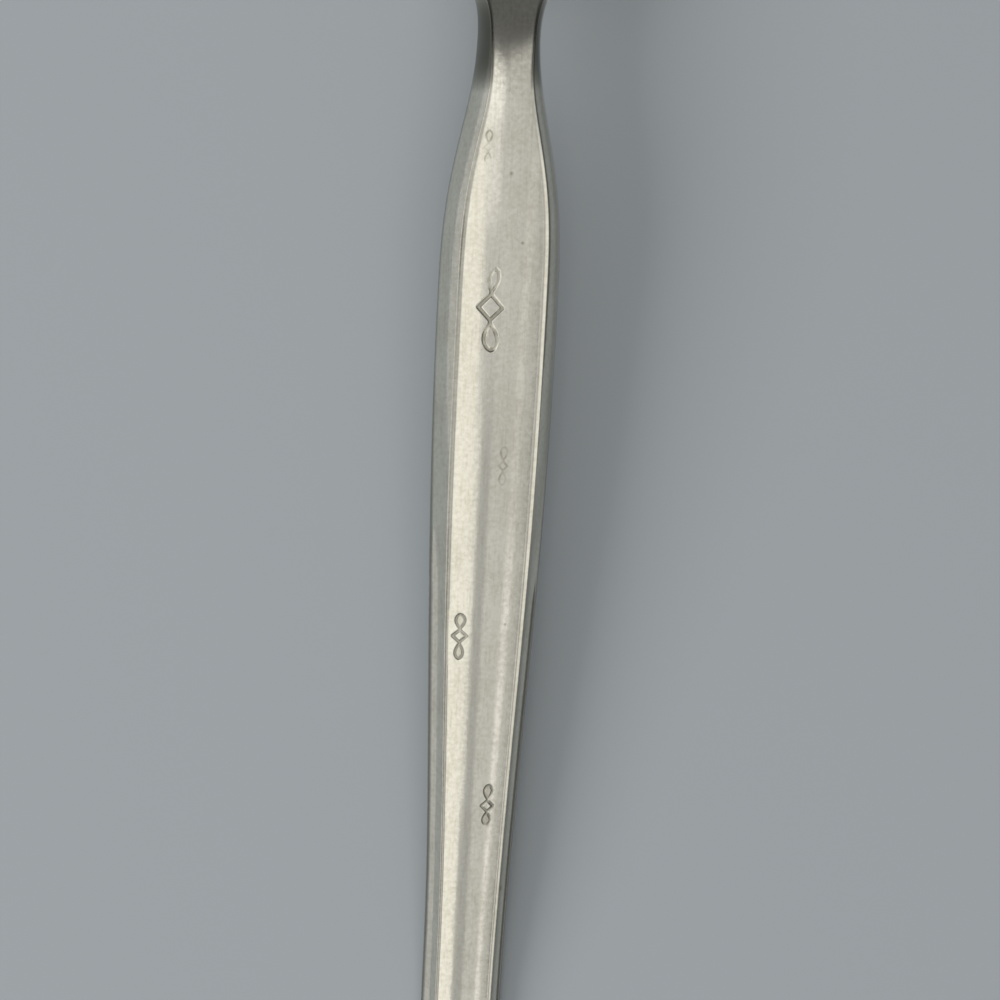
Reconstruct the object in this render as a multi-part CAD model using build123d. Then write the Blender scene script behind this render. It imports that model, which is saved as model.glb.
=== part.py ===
from build123d import *
import os
from dataclasses import dataclass
from math import cos, radians, sin, sqrt

# Grapefruit spoon, in millimetres: +Y runs towards the bowl, +Z is up, and it rests on Z = 0.

# Lengths along the spoon
HANDLE_LENGTH = 101.0  # narrowest point of the neck to the handle's end
NECK_TO_BOWL = 7.0  # narrowest point of the neck to the bowl's heel
BOWL_LENGTH = 43.0  # heel to tip, inside the rim

# Bowl: a pointed oval dish with a flat rim
BOWL_WIDTH = 24.4  # over the rim at the widest point
HEEL_WIDTH = 9.4  # over the rim where the bowl meets the neck
WIDEST_FROM_HEEL = 19.0
DEEPEST_FROM_HEEL = 21.0
BOWL_DEPTH = 6.6  # rim to the lowest point of the inside
HEEL_HOLLOW = 0.53  # rim to the inside where the bowl meets the neck
BOWL_WALL = 1.2
RIM_WIDTH = 1.0
RIM_FALL = 1.5  # how much lower the rim is at the tip than at the heel
HEEL_FLARE = 1.65  # steepness of the outline at the heel
HEEL_DROP = 1.1  # steepness of the inside at the heel
TIP_SHARPNESS = 0.62  # 0.5 makes the front an ellipse, more makes it more pointed
REST_FLAT_DEPTH = 0.2  # metal taken off the bowl's back where it rests
BOWL_STEPS = 12  # cross-sections along the bowl
DISH_ARC = 75.0  # degrees that a cross-section's arc runs up each side

# Saw teeth on both front edges of the bowl
TOOTH_COUNT = 9
TOOTH_PITCH = 2.0
TOOTH_DEPTH = 0.7
TOOTH_LAND = 0.3  # blunt width left at each tooth's point
TEETH_FROM_TIP = 4.0  # plain edge between the tip and the first gap

# Tongue of the handle under the bowl, and its solder
HEEL_THICKNESS = 3.0
TONGUE_LENGTH = 14.0
TONGUE_END_WIDTH = 1.8
TONGUE_END_THICKNESS = 0.35
TONGUE_STEPS = 4
SOLDER_THICKNESS = 0.2
SOLDER_MARGIN = 0.4  # solder showing beside the tongue

# Handle
HANDLE_WIDTH = 11.05  # over the back edges at the shoulder
NECK_THICKNESS = 3.1  # back to lands
LAND_WIDTH = 0.45  # flat strip beside each crease at the shoulder
CROWN_RISE = 0.3  # swell of the top face at the shoulder
ARCH_RISE = 2.1  # greatest height of the lands above a straight line from the heel's rim to the handle's end
BACK_EDGE_RADIUS = 0.4
END_ROUNDING = 2.6  # length of the rounded end
END_LIFT = 0.2  # the end's height above the surface that the handle rests on
STAMP_LINE = 0.3  # width of a stamped line
STAMP_DEPTH = 0.15  # depth of the clearest sprigs
STAMP_RELIEF = 0.5  # height of the stamp above the surface that it cuts

# Places that the sizes above fix
HANDLE_END_Y = -(HANDLE_LENGTH + NECK_TO_BOWL + BOWL_LENGTH + RIM_WIDTH) / 2
NECK_Y = HANDLE_END_Y + HANDLE_LENGTH
HEEL_Y = NECK_Y + NECK_TO_BOWL
REACH = BOWL_WIDTH + BOWL_DEPTH  # further than any piece reaches from the middle of the spoon


# Outline and depth of the bowl
def smooth_rise(x, steepness):
    """Smooth rise from 0 to 1, level at its end."""
    return steepness * x * (1 - x) ** 2 + x * x * (3 - 2 * x)


def rim_height(from_heel):
    at_deepest = BOWL_DEPTH + BOWL_WALL - REST_FLAT_DEPTH
    return at_deepest + (DEEPEST_FROM_HEEL - from_heel) * RIM_FALL / BOWL_LENGTH


def rim_half_width(from_heel, margin):
    """Half-width of the bowl's outline, at a margin outside the inner edge of its rim."""
    heel = HEEL_WIDTH / 2 - RIM_WIDTH + margin
    widest = BOWL_WIDTH / 2 - RIM_WIDTH + margin
    if from_heel <= WIDEST_FROM_HEEL:
        return heel + (widest - heel) * smooth_rise(from_heel / WIDEST_FROM_HEEL, HEEL_FLARE)
    x = (from_heel - WIDEST_FROM_HEEL) / (BOWL_LENGTH + margin - WIDEST_FROM_HEEL)
    return widest * max(0.0, 1 - x * x) ** TIP_SHARPNESS


def hollow(from_heel):
    """Depth of the bowl's inside below its rim along the middle, which is below zero past the tip."""
    if from_heel <= DEEPEST_FROM_HEEL:
        drop = smooth_rise(from_heel / DEEPEST_FROM_HEEL, HEEL_DROP)
        return HEEL_HOLLOW + (BOWL_DEPTH - HEEL_HOLLOW) * drop
    x = (from_heel - DEEPEST_FROM_HEEL) / (BOWL_LENGTH - DEEPEST_FROM_HEEL)
    return BOWL_DEPTH * (1 - x * x)


def inside_height(from_heel):
    return rim_height(from_heel) - hollow(from_heel)


def inside_radius(from_heel):
    """Radius across the bowl that meets both inner edges of the rim, kept the same round the tip."""
    at = min(from_heel, BOWL_LENGTH - RIM_WIDTH)
    depth = hollow(at)
    return (rim_half_width(at, margin=0.0) ** 2 + depth**2) / (2 * depth)


# Cross-sections of the handle, from the bowl's heel to the handle's end
@dataclass
class Station:
    from_neck: float  # towards the handle's end
    width: float  # over the back edges
    top_width: float  # between the two creases
    land: float  # flat strip beside each crease
    crown: float  # how far the top swells above its lands, or sinks below them
    thickness: float  # back to lands
    arch: float  # lands above a straight line from the heel's rim to the handle's end


HEEL = Station(
    -NECK_TO_BOWL, width=HEEL_WIDTH, top_width=HEEL_WIDTH, land=RIM_WIDTH, crown=-HEEL_HOLLOW,
    thickness=HEEL_THICKNESS, arch=0.0,
)
MOUTH = Station(
    -0.57 * NECK_TO_BOWL, width=0.629 * HANDLE_WIDTH, top_width=0.43 * HANDLE_WIDTH, land=1.11 * LAND_WIDTH,
    crown=-0.73 * CROWN_RISE, thickness=NECK_THICKNESS, arch=0.333 * ARCH_RISE,
)
NECK = Station(
    0.0, width=0.5385 * HANDLE_WIDTH, top_width=0.344 * HANDLE_WIDTH, land=0.78 * LAND_WIDTH,
    crown=-0.33 * CROWN_RISE, thickness=NECK_THICKNESS, arch=0.619 * ARCH_RISE,
)
COLLAR = Station(
    0.035 * HANDLE_LENGTH, width=0.602 * HANDLE_WIDTH, top_width=0.335 * HANDLE_WIDTH, land=0.8 * LAND_WIDTH,
    crown=0.07 * CROWN_RISE, thickness=0.984 * NECK_THICKNESS, arch=0.771 * ARCH_RISE,
)
FLARE = Station(
    0.086 * HANDLE_LENGTH, width=0.756 * HANDLE_WIDTH, top_width=0.493 * HANDLE_WIDTH, land=0.89 * LAND_WIDTH,
    crown=0.4 * CROWN_RISE, thickness=0.968 * NECK_THICKNESS, arch=0.929 * ARCH_RISE,
)
HAUNCH = Station(
    0.139 * HANDLE_LENGTH, width=0.923 * HANDLE_WIDTH, top_width=0.665 * HANDLE_WIDTH, land=LAND_WIDTH,
    crown=0.73 * CROWN_RISE, thickness=0.935 * NECK_THICKNESS, arch=ARCH_RISE,
)
SHOULDER = Station(
    0.228 * HANDLE_LENGTH, width=HANDLE_WIDTH, top_width=0.7285 * HANDLE_WIDTH, land=LAND_WIDTH,
    crown=CROWN_RISE, thickness=0.903 * NECK_THICKNESS, arch=0.952 * ARCH_RISE,
)
MIDDLE = Station(
    0.446 * HANDLE_LENGTH, width=0.9276 * HANDLE_WIDTH, top_width=0.688 * HANDLE_WIDTH, land=LAND_WIDTH,
    crown=0.93 * CROWN_RISE, thickness=0.839 * NECK_THICKNESS, arch=0.667 * ARCH_RISE,
)
TAPER = Station(
    0.614 * HANDLE_LENGTH, width=0.796 * HANDLE_WIDTH, top_width=0.579 * HANDLE_WIDTH, land=0.93 * LAND_WIDTH,
    crown=0.8 * CROWN_RISE, thickness=0.742 * NECK_THICKNESS, arch=0.343 * ARCH_RISE,
)
SHANK = Station(
    0.772 * HANDLE_LENGTH, width=0.683 * HANDLE_WIDTH, top_width=0.489 * HANDLE_WIDTH, land=0.89 * LAND_WIDTH,
    crown=0.67 * CROWN_RISE, thickness=0.661 * NECK_THICKNESS, arch=0.0,
)
REST = Station(
    0.921 * HANDLE_LENGTH, width=0.656 * HANDLE_WIDTH, top_width=0.457 * HANDLE_WIDTH, land=0.84 * LAND_WIDTH,
    crown=0.6 * CROWN_RISE, thickness=0.613 * NECK_THICKNESS, arch=-0.31 * ARCH_RISE,
)
END = Station(
    HANDLE_LENGTH, width=0.652 * HANDLE_WIDTH, top_width=0.457 * HANDLE_WIDTH, land=0.84 * LAND_WIDTH,
    crown=0.53 * CROWN_RISE, thickness=0.581 * NECK_THICKNESS, arch=0.0,
)
STATIONS = [HEEL, MOUTH, NECK, COLLAR, FLARE, HAUNCH, SHOULDER, MIDDLE, TAPER, SHANK, REST, END]


# Stamped ornaments: a lozenge between two loops
@dataclass
class Sprig:
    from_neck: float
    offset: float  # to the right of the middle of the top face
    height: float
    lozenge_width: float
    lozenge_height: float
    loop_width: float
    depth: float


SPRIGS = [
    Sprig(
        0.0967 * HANDLE_LENGTH, offset=-0.17 * HANDLE_WIDTH, height=0.28 * HANDLE_WIDTH,
        lozenge_width=0.109 * HANDLE_WIDTH, lozenge_height=0.09 * HANDLE_WIDTH,
        loop_width=0.072 * HANDLE_WIDTH, depth=0.53 * STAMP_DEPTH,
    ),
    Sprig(
        0.2387 * HANDLE_LENGTH, offset=-0.088 * HANDLE_WIDTH, height=0.724 * HANDLE_WIDTH,
        lozenge_width=0.235 * HANDLE_WIDTH, lozenge_height=0.235 * HANDLE_WIDTH,
        loop_width=0.127 * HANDLE_WIDTH, depth=STAMP_DEPTH,
    ),
    Sprig(
        0.3793 * HANDLE_LENGTH, offset=0.098 * HANDLE_WIDTH, height=0.362 * HANDLE_WIDTH,
        lozenge_width=0.127 * HANDLE_WIDTH, lozenge_height=0.109 * HANDLE_WIDTH,
        loop_width=0.081 * HANDLE_WIDTH, depth=0.53 * STAMP_DEPTH,
    ),
    Sprig(
        0.5334 * HANDLE_LENGTH, offset=-0.202 * HANDLE_WIDTH, height=0.407 * HANDLE_WIDTH,
        lozenge_width=0.149 * HANDLE_WIDTH, lozenge_height=0.118 * HANDLE_WIDTH,
        loop_width=0.09 * HANDLE_WIDTH, depth=STAMP_DEPTH,
    ),
    Sprig(
        0.6865 * HANDLE_LENGTH, offset=0.098 * HANDLE_WIDTH, height=0.353 * HANDLE_WIDTH,
        lozenge_width=0.127 * HANDLE_WIDTH, lozenge_height=0.109 * HANDLE_WIDTH,
        loop_width=0.081 * HANDLE_WIDTH, depth=0.8 * STAMP_DEPTH,
    ),
]


def section_plane(y):
    """Upright plane across the spoon, with X to the right and Z up."""
    return Plane.XZ.offset(-y)


def wall_lean(spread, height):
    """Slope of a side wall that spreads that far, measured over the rounding of its back edge."""
    across = spread - BACK_EDGE_RADIUS
    up = height - BACK_EDGE_RADIUS
    along = sqrt(across**2 + up**2 - BACK_EDGE_RADIUS**2)
    return (across * up + along * BACK_EDGE_RADIUS) / (up**2 - BACK_EDGE_RADIUS**2)


def cross_section(y, width, top_width, land, crown, lands, back):
    """Section of the handle: flat back, sloped walls, and a crowned or hollow top between two lands."""
    crease = top_width / 2
    inner = crease - land
    corner = crease + (lands - back) * wall_lean(width / 2 - crease, lands - back)
    left_wall = Polyline((-inner, lands), (-crease, lands), (-corner, back))
    right_wall = Polyline((corner, back), (crease, lands), (inner, lands))
    top = ThreePointArc((inner, lands), (0, lands + crown), (-inner, lands))
    face = make_face([left_wall, Line((-corner, back), (corner, back)), right_wall, top])
    back_corners = face.vertices().group_by(Axis.Y)[0]
    return section_plane(y) * fillet(back_corners, BACK_EDGE_RADIUS)


def land_height(station):
    share = (station.from_neck + NECK_TO_BOWL) / (HANDLE_LENGTH + NECK_TO_BOWL)
    end = END_LIFT + END.thickness
    return rim_height(0.0) + (end - rim_height(0.0)) * share + station.arch


def handle_section(station):
    lands = land_height(station)
    return cross_section(
        NECK_Y - station.from_neck, station.width, station.top_width, station.land, station.crown,
        lands, back=lands - station.thickness,
    )


def end_waste():
    """All round the handle's end, what its rounding takes off, sloped as the handle's walls are."""
    draft = (END.width - END.top_width) / 2
    start = HANDLE_END_Y + END_ROUNDING
    far = HANDLE_END_Y - END_ROUNDING
    levels = []
    for step in (-1, 2):
        inset = step * draft
        side = END.width / 2 - inset
        arc = ThreePointArc((-side, start), (0, HANDLE_END_Y + inset), (side, start))
        around = Polyline(
            (side, start), (REACH, start), (REACH, far), (-REACH, far), (-REACH, start), (-side, start)
        )
        levels.append(Pos(Z=END_LIFT + step * END.thickness) * make_face([arc, around]))
    return loft(levels)


def stamp(sprig, body):
    """Cutter for one sprig, square to the top face where it stands."""
    place = Axis((sprig.offset, NECK_Y - sprig.from_neck, 0), (0, 0, 1))
    point, normal = body.find_intersection_points(place)[-1]
    loop_height = (sprig.height - sprig.lozenge_height) / 2 + STAMP_LINE
    middle = (sprig.height - loop_height) / 2
    half_width = sprig.lozenge_width / 2
    half_height = sprig.lozenge_height / 2
    lozenge = make_face(
        Polyline((half_width, 0), (0, half_height), (-half_width, 0), (0, -half_height), close=True)
    )
    loop = Ellipse(sprig.loop_width / 2, loop_height / 2)
    loop -= Ellipse(sprig.loop_width / 2 - STAMP_LINE, loop_height / 2 - STAMP_LINE)
    lines = lozenge - offset(lozenge, -STAMP_LINE)
    for side in (1, -1):
        lines += Pos(Y=side * middle) * loop
    floor = Plane(point - normal * sprig.depth, x_dir=(1, 0, 0), z_dir=normal)
    return extrude(floor * lines, sprig.depth + STAMP_RELIEF)


# Bowl
def dish(growth):
    """All that lies above the bowl's inside, with its curves across the bowl grown outwards."""
    past_tip = BOWL_LENGTH + BOWL_DEPTH
    faces = []
    for from_heel in [BOWL_LENGTH * i / BOWL_STEPS for i in range(BOWL_STEPS + 1)] + [past_tip]:
        centre = inside_height(from_heel) + inside_radius(from_heel)
        radius = inside_radius(from_heel) + growth
        across = radius * sin(radians(DISH_ARC))
        top = centre - radius * cos(radians(DISH_ARC))
        arc = ThreePointArc((-across, top), (0, centre - radius), (across, top))
        face = make_face([arc, Line((across, top), (-across, top))])
        faces.append(section_plane(HEEL_Y + from_heel) * face)
    return loft(faces)


def rim_edge():
    """Right-hand edge of the rim in plan, from the heel to the tip."""
    length = BOWL_LENGTH + RIM_WIDTH
    back = [WIDEST_FROM_HEEL * i / BOWL_STEPS for i in range(BOWL_STEPS)]
    front = [length - (length - WIDEST_FROM_HEEL) * (1 - i / BOWL_STEPS) ** 2 for i in range(BOWL_STEPS + 1)]
    points = [(rim_half_width(at, RIM_WIDTH), HEEL_Y + at) for at in back + front]
    return Spline(*points)


def tooth_gaps(edge):
    """Notches between the teeth along one edge of the rim."""
    gaps = Sketch()
    half = (TOOTH_PITCH - TOOTH_LAND) / 2
    for i in range(TOOTH_COUNT):
        share = 1 - (TEETH_FROM_TIP + i * TOOTH_PITCH) / edge.length
        notch = make_face(
            Polyline((-2 * half, -TOOTH_DEPTH), (2 * half, -TOOTH_DEPTH), (0, TOOTH_DEPTH), close=True)
        )
        gaps += Plane(edge @ share, x_dir=edge % share, z_dir=(0, 0, 1)) * notch
    return gaps


def bowl_plan(teeth):
    """Plan of the bowl over its rim."""
    right = rim_edge()
    left = mirror(right, about=Plane.YZ)
    plan = make_face([right, left, Line(left @ 0, right @ 0)])
    if teeth:
        gaps = tooth_gaps(right)
        plan -= gaps + mirror(gaps, about=Plane.YZ)
    return plan


def above_rest(body):
    """Body cut flat where it would reach below the surface that it rests on."""
    return split(body, bisect_by=Plane.XY, keep=Keep.TOP)


def make_bowl():
    shell = dish(BOWL_WALL) - dish(0.0)
    shell &= extrude(bowl_plan(teeth=True), REACH, both=True)
    rim = Plane((0, HEEL_Y, rim_height(0.0)), x_dir=(1, 0, 0), z_dir=(0, RIM_FALL, BOWL_LENGTH))
    return above_rest(split(shell, bisect_by=rim, keep=Keep.BOTTOM))


# Tongue and solder
def tongue_section(y, width, top, back):
    face = Pos(Y=(top + back) / 2) * Rectangle(width, top - back)
    back_corners = face.vertices().group_by(Axis.Y)[0]
    return section_plane(y) * fillet(back_corners, BACK_EDGE_RADIUS)


def tongue(margin):
    """Tapering tongue that reaches up through the bowl's wall, widened by a margin."""
    heel_thickness = HEEL_THICKNESS - HEEL_HOLLOW - BOWL_WALL
    faces = []
    for i in range(TONGUE_STEPS + 1):
        share = i / TONGUE_STEPS
        from_heel = (TONGUE_LENGTH + margin) * share
        width = TONGUE_END_WIDTH + (HEEL_WIDTH - TONGUE_END_WIDTH) * (1 - share) ** 2 + 2 * margin
        thickness = TONGUE_END_THICKNESS + (heel_thickness - TONGUE_END_THICKNESS) * (1 - share)
        back = inside_height(from_heel) - BOWL_WALL - thickness
        faces.append(tongue_section(HEEL_Y + from_heel, width, rim_height(from_heel), back))
    return loft(faces)


def make_solder():
    film = dish(BOWL_WALL + SOLDER_THICKNESS) - dish(BOWL_WALL)
    film &= extrude(bowl_plan(teeth=False), REACH, both=True)
    return film & tongue(SOLDER_MARGIN)


# Handle
def make_handle():
    body = loft([handle_section(station) for station in STATIONS])
    body -= end_waste()
    cutters = [stamp(sprig, body) for sprig in SPRIGS]
    body += tongue(0.0) - dish(BOWL_WALL + SOLDER_THICKNESS)
    return above_rest(body) - cutters


os.makedirs("parts", exist_ok=True)
export_step(make_handle(), "parts/handle.step")
export_step(make_bowl(), "parts/bowl.step")
export_step(make_solder(), "parts/solder_seam.step")
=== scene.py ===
import math
from bisect import bisect_right
from collections import namedtuple

import bmesh
import bpy
import numpy as np
from mathutils import Matrix, Vector
from mathutils.kdtree import KDTree
from mathutils.noise import noise as wander


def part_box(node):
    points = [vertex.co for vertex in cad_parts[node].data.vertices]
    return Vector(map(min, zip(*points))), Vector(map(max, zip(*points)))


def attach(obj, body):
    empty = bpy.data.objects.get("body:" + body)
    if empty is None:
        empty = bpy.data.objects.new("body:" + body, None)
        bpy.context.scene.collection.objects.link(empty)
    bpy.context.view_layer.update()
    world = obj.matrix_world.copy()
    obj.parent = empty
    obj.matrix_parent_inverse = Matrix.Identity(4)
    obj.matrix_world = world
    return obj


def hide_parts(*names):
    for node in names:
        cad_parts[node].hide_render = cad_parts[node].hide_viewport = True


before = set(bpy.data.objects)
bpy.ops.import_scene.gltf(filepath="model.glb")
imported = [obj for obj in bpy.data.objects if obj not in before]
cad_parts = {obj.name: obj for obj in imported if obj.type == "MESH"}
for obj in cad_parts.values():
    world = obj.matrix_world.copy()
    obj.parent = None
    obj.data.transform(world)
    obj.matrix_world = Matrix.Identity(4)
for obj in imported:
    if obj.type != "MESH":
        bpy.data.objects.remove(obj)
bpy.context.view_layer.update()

MM = 0.001  # the pieces are modelled in millimetres and brought to metres at the end

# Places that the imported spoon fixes, in millimetres
END_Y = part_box("handle")[0].y / MM
HEEL_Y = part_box("bowl")[0].y / MM
TIP_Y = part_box("bowl")[1].y / MM
NECK_TO_BOWL = 7.0
NECK_Y = HEEL_Y - NECK_TO_BOWL
HANDLE_LENGTH = NECK_Y - END_Y

# Bowl, in millimetres
RIM_WIDTH = 1.0
BOWL_LENGTH = TIP_Y - HEEL_Y - RIM_WIDTH
BOWL_WIDTH = 24.4
HEEL_WIDTH = 9.4
WIDEST_FROM_HEEL = 19.0
DEEPEST_FROM_HEEL = 21.0
BOWL_DEPTH = 6.6
HEEL_HOLLOW = 0.53
BOWL_WALL = 1.2
RIM_FALL = 1.5
HEEL_FLARE = 1.65  # steepness at which the outline spreads from the heel
HEEL_DROP = 1.1  # steepness at which the inside falls from the heel
TIP_SHARPNESS = 0.62  # power of the outline's curve to the tip
REST_FLAT_DEPTH = 0.2
RIM_SOFTENING = 0.12  # how far the rim's worn corners are rounded
LIP_SHARE = 1 / 3  # most of the inside's half-width that the rounded lip takes
EDGE_SHARE = 1 / 4  # most of the rim's height at its edge that a rounded corner takes
TOOTH_COUNT = 9  # on each side
TOOTH_PITCH = 2.0
TOOTH_DEPTH = 0.7
TOOTH_LAND = 0.3
TEETH_FROM_TIP = 4.0

# Tongue under the bowl, in millimetres
HEEL_THICKNESS = 3.0
TONGUE_LENGTH = 14.0
TONGUE_END_WIDTH = 1.8
TONGUE_END_THICKNESS = 0.35
SOLDER_THICKNESS = 0.2
TONGUE_SPREAD = 0.23  # share of the tongue's width that its rounded underside takes at each side
TONGUE_ROUNDING = 0.85  # share of its side's height that is rounded

# Handle, in millimetres
BACK_EDGE_RADIUS = 0.4
END_ROUNDING = 2.6
END_LIFT = 0.2
CREASE_ROUNDING = 0.06
WALL_PLACES = (0.0, 0.28, 0.50, 1.0)  # shares of the handle's length from the neck
WALL_BULGE = (0.75, 0.68, 0.33, 0.30)  # share of a side wall's run at which it bends there
WALL_SHOULDER = (0.24, 0.28, 0.38, 0.36)  # share of the thickness that it falls before that
WALL_FOOT = (0.0, 0.08, 0.46, 0.10)  # millimetres that it falls upright at its foot

# Painted shade on the handle, and darkening along the furrows, as shares of a full coat
FURROW_DARKENING = 0.21
# painted shade on the lands, dimming the highlight that they mirror, growing between these places
LAND_SHADE_PLACES = (0.40, 0.60)  # shares of the handle's length from the neck
LAND_PAINTED_SHADE = (0.13, 0.30)
# painted shade at the foot of the walls, round the back edge and on the back, where shade falls under the
# handle
FOOT_PAINTED_SHADE = 0.64
BACK_EDGE_PAINTED_SHADE = 0.81
BACK_EDGE_DARKEST = 1 / 3  # share of the back edge's turn at which it is that dark
BACK_PAINTED_SHADE = 0.68
# painted shade on the right wall, which faces away from the light
RIGHT_WALL_PAINTED_SHADE = 0.30
# painted shade over the lands, creases and walls round the neck, fading to nothing at this reach
NECK_PAINTED_SHADE_REACH = 4.8  # millimetres
NECK_PAINTED_SHADE_FADE = 4  # power at which it fades towards its reach

# Mesh steps
HANDLE_ROW = 0.35  # millimetres between rows along the handle
END_ROWS = 14
TONGUE_ROWS = 12
CROWN_COLUMNS = 20
LAND_COLUMNS = 3
CREASE_COLUMNS = 3
WALL_COLUMNS = 14
CREASE_CROWDING = 1.8  # how much closer the columns are beside a crease
BACK_EDGE_COLUMNS = 6
BACK_COLUMNS = 4
BOWL_ROW = 0.6  # millimetres between rows along the rim, away from the teeth
ROWS_PER_TOOTH = 12
DISH_COLUMNS = 24
RIM_POINTS = 3000
STAMP_CUTS = 4
MERGE_DISTANCE = 0.0005  # millimetres
SHARP_ANGLE = math.radians(40)

# Handle's cross-sections, from the bowl's heel to the handle's end
Station = namedtuple("Station", "from_neck width top_width land dip crown thickness arch")
STATIONS = [
    Station(-NECK_TO_BOWL, HEEL_WIDTH, HEEL_WIDTH, RIM_WIDTH, 0.0, -HEEL_HOLLOW, HEEL_THICKNESS, 0.0),
    Station(-0.57 * NECK_TO_BOWL, 6.70, 5.50, 0.42, 0.0, -0.12, 3.10, 0.70),
    Station(0.0, 5.78, 4.05, 0.28, 0.0, 0.05, 3.10, 1.30),
    Station(0.035 * HANDLE_LENGTH, 6.40, 3.95, 0.29, 0.0, 0.08, 3.05, 1.62),
    Station(0.086 * HANDLE_LENGTH, 8.35, 5.60, 0.32, 0.02, 0.13, 3.00, 1.935),
    Station(0.139 * HANDLE_LENGTH, 10.20, 7.45, 0.36, 0.07, 0.22, 2.90, 2.07),
    Station(0.228 * HANDLE_LENGTH, 11.05, 8.20, 0.38, 0.08, 0.30, 2.80, 1.99),
    Station(0.446 * HANDLE_LENGTH, 10.25, 7.75, 0.38, 0.08, 0.28, 2.60, 1.40),
    Station(0.614 * HANDLE_LENGTH, 8.80, 6.55, 0.30, 0.062, 0.24, 2.30, 0.72),
    Station(0.772 * HANDLE_LENGTH, 7.55, 5.50, 0.28, 0.055, 0.20, 2.05, 0.0),
    Station(0.921 * HANDLE_LENGTH, 7.25, 5.15, 0.27, 0.05, 0.18, 1.90, -0.65),
    Station(HANDLE_LENGTH, 7.20, 5.15, 0.27, 0.05, 0.16, 1.80, 0.0),
]

# Stamped sprigs: a lozenge between two drop-shaped loops
Loop = namedtuple("Loop", "width length lean wear fill")
Sprig = namedtuple("Sprig", "from_neck offset width height half_line depth wear upper lower")
SPRIGS = [
    Sprig(0.0967 * HANDLE_LENGTH, -1.88, 0.75, 0.65, 0.12, 0.012, 0.55,
          Loop(0.55, 1.2, 0.05, 0.55, 0.2), Loop(0.55, 1.2, 0.0, 0.55, 0.2)),
    Sprig(0.2387 * HANDLE_LENGTH, -1.03, 2.23, 2.30, 0.22, 0.06, 0.12,
          Loop(0.85, 2.3, 0.30, 0.45, 0.1), Loop(1.20, 2.7, 0.2, 0.12, 0.35)),
    Sprig(0.3793 * HANDLE_LENGTH, 0.88, 0.80, 0.80, 0.16, 0.012, 0.45,
          Loop(0.60, 1.3, 0.05, 0.45, 0.3), Loop(0.60, 1.3, 0.0, 0.55, 0.2)),
    Sprig(0.5334 * HANDLE_LENGTH, -2.20, 1.33, 1.10, 0.16, 0.055, 0.05,
          Loop(0.81, 1.4, 0.00, 0.05, 0.5), Loop(0.68, 1.5, 0.0, 0.05, 0.5)),
    Sprig(0.6865 * HANDLE_LENGTH, 1.18, 1.15, 1.00, 0.15, 0.05, 0.2,
          Loop(0.70, 1.4, 0.05, 0.2, 0.5), Loop(0.68, 1.2, 0.0, 0.2, 0.5)),
]
STEM_SHARE = 0.14  # share of a loop's length before its two strokes part
WEAR_BLEND = 0.4  # share of a loop's length over which its wear takes over from the lozenge's
WEAR_SWING = 0.5  # how far the wear wanders either way
WEAR_SIZE = 0.7  # millimetres over which it does
LOOP_DROP = 1.3  # power that draws a loop's widest place towards its round end
LOOP_BLUNTNESS = 0.6  # power that fills a loop out towards its ends
STAMP_FLAT = 0.35  # share of a stamped line's half-width that is flat
STAMP_MARGIN = 0.4  # millimetres round a sprig that are divided finely
STAMP_POINT_STEP = 0.03  # millimetres between points along its strokes
TOP_FACE_RISE = 0.5  # least upward part of a top face's normal
TOP_FACE_DEPTH = 0.4  # millimetres below the crown that still belong to the top face
LOOP_STEPS = 24

# Small dark nicks in the top face
Nick = namedtuple("Nick", "from_neck offset size")
NICKS = [
    Nick(SPRIGS[1].from_neck - 12.1, 0.28, 0.26),
    Nick(SPRIGS[1].from_neck - 5.9, 1.59, 0.22),
    Nick(SPRIGS[3].from_neck - 1.2, 1.89, 0.20),
    Nick(SPRIGS[4].from_neck + 7.6, 2.95, 0.30),
]
NICK_DARKNESS = 0.7

# Camera, in metres: above the handle, rolled towards its left wall
CAMERA_DISTANCE = 0.35
VIEW_WIDTH = 0.0905  # across the picture, at the spoon
CAMERA_ROLL = math.radians(9.0)
HANDLE_LEAN = math.radians(2.323)
LOOK_AT = Vector((0.000793, -0.0164, 0.0072))
SENSOR_WIDTH = 36.0  # millimetres
CLIP_START = 0.01

# Floor and the light for it, in metres and watts
FLOOR_HALF_WIDTH = 3.0
FLOOR_COLOUR = (0.62, 0.66, 0.685, 1)
FLOOR_ROUGHNESS = 0.9
FLOOR_LIGHT_PLACE = (-1.0, -0.1, 0.55)
FLOOR_LIGHT_SIZE = 0.5
FLOOR_LIGHT_POWER = 4.5

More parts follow.
